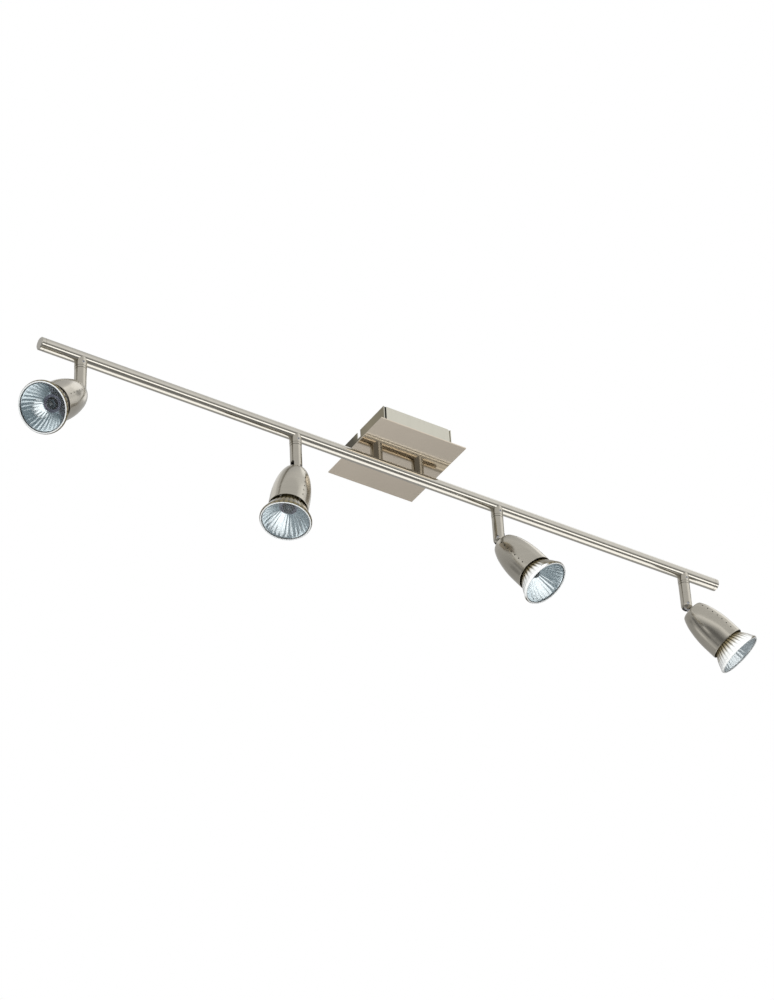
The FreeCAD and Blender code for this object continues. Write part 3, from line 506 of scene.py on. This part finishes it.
def dress_nodes():
    for node in ("bar_tube", "end_cap_left", "end_cap_right"):
        dress(node, metals["bar"])
    for node in ("spacer_post_left", "spacer_post_right", "swivel_rings"):
        dress(node, metals["stem"])
    for node in ("mounting_bracket", "post_nuts", "earth_terminal", "swivel_screws"):
        dress(node, metals["zinc"])
    dress("canopy_plate", metals["plate"])
    dress("canopy_pan", metals["pan"])
    dress("lock_screw", metals["pan"])
    dress("terminal_block", plastics["terminal"])
    dress("terminal_screws", metals["brass"])
    dress("bar_leads", plastics["brown"])
    for lamp in LAMPS:
        dress("collar_" + lamp, metals["stem"])
        dress("stem_" + lamp, metals["stem"])
        dress("pivot_pin_" + lamp, metals["zinc"])
        dress("knuckle_" + lamp, metals["zinc"])
        dress("lamp_holder_" + lamp, plastics["ceramic"])
        dress("bulb_base_" + lamp, plastics["ceramic"])
        dress("bulb_pins_" + lamp, metals["zinc"])


# Head shells

SHELL_WALL = 0.7
REAR_WALL = 1.0
REAR_HOLE = 3.05
REAR_FLAT = 9.7  # radius of the flat rear
CORNER_RADIUS = 12.2  # where the rounded corner ends, and how far that is from the rear
CORNER_DEPTH = 1.6
KNEE_INSET = 3.2  # where the dome meets the long curve: inside the full radius, from the rear
KNEE_DEPTH = 12.0
FULL_DEPTH = 38.0  # from the rear to the straight part
CORNER_BEND = 2.8
DOME_BEND = 50.0
SIDE_BEND = 107.0
VENT_COUNT = 7
VENT_PITCH = 6.2
VENT_FIRST = 6.9
VENT_RADIUS = 0.7


def straight(start, end, steps):
    """Points after start up to end on a straight line."""
    first, last = Vector(start), Vector(end)
    return [tuple(first.lerp(last, step / steps)) for step in range(1, steps + 1)]


def shell_profile(radius, mouth, rear):
    """Closed wall outline of the bullet shell, from the rear hole round to it again."""
    knee = rear - KNEE_DEPTH
    full = rear - FULL_DEPTH
    corner = rear - CORNER_DEPTH
    wall = SHELL_WALL
    lip = wall / 2
    outer = [(REAR_HOLE, rear), (REAR_FLAT, rear)]
    outer += arc(outer[-1], (CORNER_RADIUS, corner), CORNER_BEND, 6)
    outer += arc(outer[-1], (radius - KNEE_INSET, knee), DOME_BEND, 12)
    outer += arc(outer[-1], (radius, full), SIDE_BEND, 26)
    outer += straight(outer[-1], (radius, mouth + lip), 13)
    outer += arc(outer[-1], (radius - wall, mouth + lip), lip, 6)
    inner = straight(outer[-1], (radius - wall, full), 13)
    inner += arc(inner[-1], (radius - KNEE_INSET - wall, knee), SIDE_BEND - wall, 26)
    inner += arc(inner[-1], (CORNER_RADIUS - wall, corner), DOME_BEND - wall, 12)
    inner += [(REAR_FLAT, rear - REAR_WALL), (REAR_HOLE, rear - REAR_WALL)]
    return outer + inner, len(outer)


def vent_cutter(rear, reach):
    """Two rows of drills, one through each side of the shell."""
    build = bmesh.new()
    for number in range(VENT_COUNT):
        height = rear - VENT_FIRST - VENT_PITCH * number
        for side in (-1, 1):
            placed = Matrix.Translation((0, side * reach * 0.75 * MM, height * MM))
            placed = placed @ Matrix.Rotation(math.pi / 2, 4, "X")
            bmesh.ops.create_cone(build, cap_ends=True, segments=16, radius1=VENT_RADIUS * MM,
                                  radius2=VENT_RADIUS * MM, depth=reach * MM, matrix=placed)
    mesh = bpy.data.meshes.new("vent_cutter")
    build.to_mesh(mesh)
    build.free()
    return new_object("vent_cutter", mesh)


def make_shell_mesh():
    radius, mouth, rear = turned_span("shell_1", "1")
    profile, outside = shell_profile(radius, mouth, rear)
    # inside faces of the shell get the dark painted-shade material
    mesh = lathe("shell_blank", profile, [metals["shell"], plastics["shaded_inside"]],
                 pick=lambda strip: 0 if strip < outside - 1 else 1)
    blank = new_object("shell_blank", mesh)
    cutter = vent_cutter(rear, radius)
    boolean = blank.modifiers.new("vents", "BOOLEAN")
    boolean.operation = "DIFFERENCE"
    boolean.object = cutter
    boolean.solver = "EXACT"
    bpy.context.view_layer.update()
    drilled = bpy.data.meshes.new_from_object(
        blank.evaluated_get(bpy.context.evaluated_depsgraph_get()))
    drilled.name = "shell_mesh"
    drilled.set_sharp_from_angle(angle=SMOOTH_ANGLE)
    bpy.data.objects.remove(blank)
    bpy.data.objects.remove(cutter)
    return drilled


def make_shells():
    mesh = make_shell_mesh()
    for lamp in LAMPS:
        turn = Matrix.Rotation(math.radians(SHELL_TURNS[lamp]), 4, "Z")
        shell = head_piece("bullet_shell_" + lamp, mesh, head_matrix(lamp) @ turn)
        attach(shell, "head_" + lamp)
        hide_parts("shell_" + lamp)


# Reflector lamps

GLASS_WALL = 1.6
RIM_WALL = 2.0
NECK_RADIUS = 9.4
NECK_LENGTH = 7.2
CUP_BEND = 51.0
CONE_INSET = 0.8  # where the ribs end at the rim: inside its radius, and behind its front
CONE_DEPTH = 3.2
LENS_DEPTH = 1.55  # from the rim's front to the lens seat
MIRROR_DEPTH = 2.5  # and to the edge of the mirror
SEAT_RADIUS = 8.6  # stepped seat at the bottom of the mirror, and how far it's in front
SEAT_RISE = 4.5  # of the neck's end
SEAT_STEPS = 3
STEP_WIDTH = 0.9
STEP_HEIGHT = 0.5
RIB_DEPTH = 0.55
WAVE_MIDDLE = 0.6
FLUTE_DEPTH = 0.019  # share of the cup's radius


def reflector_rows(rim, front, back):
    """Outline of the glass cup, each point with its tag: neck, rib, side, rim and so on."""
    neck = NECK_RADIUS
    neck_end = back - NECK_LENGTH
    cone = (rim - CONE_INSET, front + CONE_DEPTH)
    rows = [((neck, back), "neck"), ((neck, neck_end + 1.5), "neck"), ((neck, neck_end), "neck")]
    for point in arc((neck, neck_end), cone, CUP_BEND, 22):
        rows.append((point, "rib"))
    rows += [((rim - 0.25, cone[1] - 0.4), "side"), ((rim, cone[1] - 0.9), "side"),
             ((rim, front + 1.7), "side"), ((rim - 0.45, front + 0.8), "side"),
             ((rim - 0.8, front + 0.25), "side"), ((rim - 1.1, front), "rim"),
             ((rim - RIM_WALL + 0.2, front), "rim"), ((rim - RIM_WALL, front + 0.2), "rim"),
             ((rim - RIM_WALL, front + LENS_DEPTH), "rim"),
             ((cone[0] - GLASS_WALL, front + LENS_DEPTH), "seat")]
    inner_start = (cone[0] - GLASS_WALL, front + MIRROR_DEPTH)
    rows.append((inner_start, "facet"))
    inner_end = (SEAT_RADIUS, neck_end - SEAT_RISE)
    for point in arc(inner_start, inner_end, CUP_BEND - GLASS_WALL, 26):
        rows.append((point, "facet"))
    radius, height = inner_end
    for _ in range(SEAT_STEPS):
        radius -= STEP_WIDTH
        rows.append(((radius, height), "bore"))
        height += STEP_HEIGHT
        rows.append(((radius, height), "bore"))
    rows.append(((radius, back), "bore"))
    return rows


def make_cup_mesh():
    rim, front, back = turned_span("bulb_reflector_1", "1")
    rows = reflector_rows(rim, front, back)
    profile = [point for point, tag in rows]
    tags = [tag for point, tag in rows]
    slots = {"neck": 1, "rib": 1, "side": 1, "rim": 0, "seat": 0, "facet": 2, "bore": 3}
    ribs = tags.count("rib")
    facets = tags.count("facet")
    first_rib = tags.index("rib")
    first_facet = tags.index("facet")

    def flute(row, angle):
        wave = abs(math.cos(FLUTES * angle / 2))
        if tags[row] == "rib":
            share = (row - first_rib + 1) / ribs
            return RIB_DEPTH * (wave - WAVE_MIDDLE) * math.sin(math.pi * min(share * 1.15, 1.0)) ** 0.5
        if tags[row] == "facet":
            radius = profile[row][0]
            share = (row - first_facet) / facets
            fade = min(share * 8, (1 - share) * 5, 1.0)
            return FLUTE_DEPTH * radius * (WAVE_MIDDLE - wave) * max(fade, 0.0)
        return 0.0

    return lathe("cup_mesh", profile,
                 [glasses["rim"], glasses["back"], glasses["mirror"], glasses["neck"]],
                 pick=lambda strip: slots[tags[strip + 1]] if strip + 1 < len(tags) else 3,
                 ripple=flute, steps=FLUTES * 12)


def make_lens_mesh():
    radius, front, back = turned_span("bulb_lens_1", "1")
    bevel = 0.2
    profile = [(0, front), (radius - bevel, front), (radius, front + bevel),
               (radius, back - bevel), (radius - bevel, back), (0, back)]
    return lathe("lens_mesh", profile, [glasses["lens"]], closed=False)


def make_cement_mesh():
    """Dark ring of cement that shows between the lens and the mirror, made black partly as a painted
    shadow of the gap.
    """
    radius, _, back = turned_span("bulb_lens_1", "1")
    outer, inner, floor = radius - 0.25, radius - 0.95, back + 0.02
    profile = [(outer, floor), (inner, floor), (inner, floor + 0.35), (outer, floor + 0.35)]
    return lathe("cement_mesh", profile, [plastics["cement"]])


def make_capsule_mesh():
    radius, front, rear = turned_span("bulb_capsule_1", "1")
    wall = 0.8
    profile = [(0, rear), (radius - 0.4, rear), (radius, rear - 1.2), (radius, front + radius)]
    profile += arc(profile[-1], (0.8, front + 0.4), radius - 0.2, 8)
    profile += [(0, front)]
    inner_front = front + 2.2
    profile += [(0, inner_front)]
    profile += arc((0.6, inner_front), (radius - wall, front + radius + 1.0), radius - wall, 6)
    profile += [(radius - wall, rear - 9.0), (0, rear - 9.5)]
    return lathe("capsule_mesh", profile, [glasses["quartz"]], closed=False, steps=48)


def make_filament_mesh():
    """Coiled filament across the capsule on two support wires."""
    _, front, rear = turned_span("bulb_capsule_1", "1")
    level = front + 7.5
    points = [(-2.0, 0, rear - 8.0), (-2.0, 0, level - 0.5), (-2.0, 0, level)]
    turns, reach, coil = 9, 1.9, 0.45
    for step in range(turns * 8 + 1):
        angle = 2 * math.pi * step / 8
        across = -reach + 2 * reach * step / (turns * 8)
        points.append((across, coil * math.cos(angle), level + coil * math.sin(angle)))
    points += [(2.0, 0, level), (2.0, 0, level - 0.5), (2.0, 0, rear - 8.0)]
    return tube("filament_mesh", points, 0.16, [metals["zinc"]], steps=8)


def make_lamps():
    kinds = (
        ("glass_cup_", make_cup_mesh(), "bulb_reflector_", "reflector_glass"),
        ("front_lens_", make_lens_mesh(), "bulb_lens_", "lens_glass"),
        ("quartz_capsule_", make_capsule_mesh(), "bulb_capsule_", "quartz"),
        ("lens_cement_", make_cement_mesh(), None, "terminal_plastic"),
        ("filament_", make_filament_mesh(), None, "zinc_steel"),
    )
    for lamp in LAMPS:
        for prefix, mesh, node, finish in kinds:
            piece = head_piece(prefix + lamp, mesh, head_matrix(lamp))
            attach(piece, "bulb_" + lamp)
            if node:
                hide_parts(node + lamp)


# Studio

# Brightness of the surroundings by elevation in degrees, in front of the bar and behind it
FRONT_SKY = ((-90, 0.35), (-60, 0.25), (-35, 0.20), (-12, 0.20), (0, 0.42), (11, 0.88),
             (21, 1.00), (35, 0.92), (60, 0.74), (90, 0.60))
BACK_SKY = ((-90, 0.50), (-30, 0.45), (-10, 0.42), (10, 0.40), (30, 0.52), (50, 0.60),
            (65, 0.60), (80, 0.50), (90, 0.52))
# Panels and dark screens: azimuth from +X, elevation, width, height and roll in degrees,
# and brightness
PANELS = ((232, 45, 84, 50, 0, 0.62), (322, 37, 16, 20, 0, 1.05),
          (303, -29, 44, 16, 0, 2.00), (38, -56, 60, 27, 0, 1.65), (8, 57, 30, 18, 0, 1.20),
          (105, 53, 60, 14, 0, 0.85), (20, 37, 20, 14, 0, 1.15), (357, 40, 12, 12, 0, 0.35),
          (183, 0, 10, 40, 0, 0.75), (165, -12, 14, 36, 0, 0.18), (205, -14, 18, 20, 0, 0.17),
          (138, -17, 14, 18, 0, 0.75), (138, 0, 20, 8, 0, 0.25), (290, -4, 24, 14, 0, 0.35),
          (166, 43, 30, 8, -42, 0.25))
WHITE = (1, 1, 1, 1)
# What the mirrors inside the lamps show: a teal room with one bright wall in front
CUP_LIGHT = (0.086, -0.981, -0.174)
CUP_EDGE = (0.54, 0.82)  # cosines of the angles where that wall ends and is at its full
CUP_DARK = (0.21, 0.26, 0.28)
CUP_BRIGHT = (1.7, 1.7, 1.68)
PANEL_EDGE = 4.5  # degrees over which a panel fades out
GREATEST = 2.0  # the ramps hold brightness divided by this


def sky(tree, rise, levels):
    """Brightness by elevation; rise runs from 0 straight down to 1 straight up."""
    stops = [((elevation + 90) / 180, level / GREATEST) for elevation, level in levels]
    return ramp(tree, rise, stops)


def panel(tree, way, azimuth, elevation, width, height, roll):
    """1 where the direction meets a rectangle of the surroundings, 0 elsewhere."""
    turn, lift, lean = (math.radians(angle) for angle in (azimuth, elevation, roll))
    middle = Vector((math.cos(lift) * math.cos(turn), math.cos(lift) * math.sin(turn),
                     math.sin(lift)))
    level = Vector((-math.sin(turn), math.cos(turn), 0))
    sideways = level * math.cos(lean) + middle.cross(level) * math.sin(lean)
    upward = middle.cross(sideways)
    ahead = dot(tree, way, middle)
    inside = math_node(tree, "GREATER_THAN", ahead, 0.0)
    for axis, extent in ((sideways, width), (upward, height)):
        reach = math_node(tree, "ABSOLUTE", math_node(tree, "DIVIDE", dot(tree, way, axis), ahead))
        edge = [math.tan(math.radians(max(extent / 2 + side * PANEL_EDGE / 2, 0)))
                for side in (-1, 1)]
        fade = add(tree, "ShaderNodeMapRange", {"interpolation_type": "SMOOTHSTEP"}, Value=reach,
                   From_Min=edge[0], From_Max=edge[1], To_Min=1.0, To_Max=0.0).outputs["Result"]
        inside = math_node(tree, "MULTIPLY", inside, fade)
    return inside


def make_world():
    world = bpy.data.worlds.new("studio")
    bpy.context.scene.world = world
    world.use_nodes = True
    tree = world.node_tree
    tree.nodes.clear()
    way = add(tree, "ShaderNodeTexCoord").outputs["Generated"]
    _, depth, rise = add(tree, "ShaderNodeSeparateXYZ", Vector=way).outputs
    elevation = math_node(tree, "MULTIPLY_ADD", math_node(tree, "ARCSINE", rise),
                          1 / math.pi, 0.5)
    behind = add(tree, "ShaderNodeMapRange", {"interpolation_type": "SMOOTHSTEP"}, Value=depth,
                 From_Min=-0.3, From_Max=0.3).outputs["Result"]
    light = blend(tree, behind, sky(tree, elevation, FRONT_SKY), sky(tree, elevation, BACK_SKY))
    for *place, level in PANELS:
        light = blend(tree, panel(tree, way, *place), light, (level / GREATEST,) * 3 + (1,))
    light = add(tree, "ShaderNodeVectorMath", {"operation": "SCALE"}, Vector=light,
                Scale=GREATEST).outputs["Vector"]
    lobe = add(tree, "ShaderNodeMapRange", {"interpolation_type": "SMOOTHSTEP"},
               Value=dot(tree, way, CUP_LIGHT), From_Min=CUP_EDGE[0],
               From_Max=CUP_EDGE[1]).outputs["Result"]
    in_cups = blend(tree, lobe, (*CUP_DARK, 1), (*CUP_BRIGHT, 1))
    path = add(tree, "ShaderNodeLightPath")
    mirrored = math_node(tree, "GREATER_THAN", path.outputs["Glossy Depth"], 0.5)
    light = blend(tree, path.outputs["Is Transmission Ray"], light,
                  blend(tree, mirrored, WHITE, in_cups))
    light = blend(tree, path.outputs["Is Camera Ray"], light, WHITE)
    studio = add(tree, "ShaderNodeBackground", Color=light, Strength=1.0)
    output = tree.nodes.new("ShaderNodeOutputWorld")
    tree.links.new(studio.outputs[0], output.inputs[0])


def make_floor():
    build = bmesh.new()
    bmesh.ops.create_circle(build, cap_ends=True, segments=96, radius=FLOOR_RADIUS)
    mesh = finish_mesh(build, "floor", [matte("pale_floor", (0.93, 0.93, 0.92), 0.7, 60,
                                               mottling=0.01)])
    floor = new_object("floor", mesh, Matrix.Translation((0, 0, -FLOOR_DROP)))
    floor.visible_glossy = False
    floor.visible_transmission = False


# Soft lamps for what isn't polished: name, place in metres and watts
SOFT_LAMPS = (("soft_key", (-1.2, -2.2, 1.4), 30), ("soft_fill", (-1.3, -1.9, -1.4), 60))


def make_lights():
    for name, place, watts in SOFT_LAMPS:
        data = bpy.data.lights.new(name, "AREA")
        data.shape = "RECTANGLE"
        data.size = 2.4
        data.size_y = 1.6
        data.energy = watts
        lamp = new_object(name, data)
        lamp.location = place
        lamp.rotation_euler = (-lamp.location).to_track_quat("-Z", "Y").to_euler()
        lamp.visible_glossy = False
        lamp.visible_transmission = False
        lamp.visible_camera = False


def make_camera():
    low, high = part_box("bar_tube")
    middle = (low + high) / 2
    data = bpy.data.cameras.new("product_view")
    data.lens = CAMERA_LENS
    data.sensor_width = SENSOR
    data.clip_end = 50
    right = (CAMERA_RIGHT - CAMERA_FORWARD * CAMERA_RIGHT.dot(CAMERA_FORWARD)).normalized()
    back = -CAMERA_FORWARD.normalized()
    turn = Matrix((right, back.cross(right), back)).transposed()
    camera = new_object("product_view", data,
                        Matrix.Translation(middle + CAMERA_OFFSET) @ turn.to_4x4())
    bpy.context.scene.camera = camera


dress_nodes()
make_shells()
make_lamps()
make_world()
make_floor()
make_lights()
make_camera()
bpy.context.scene.view_settings.view_transform = "Standard"
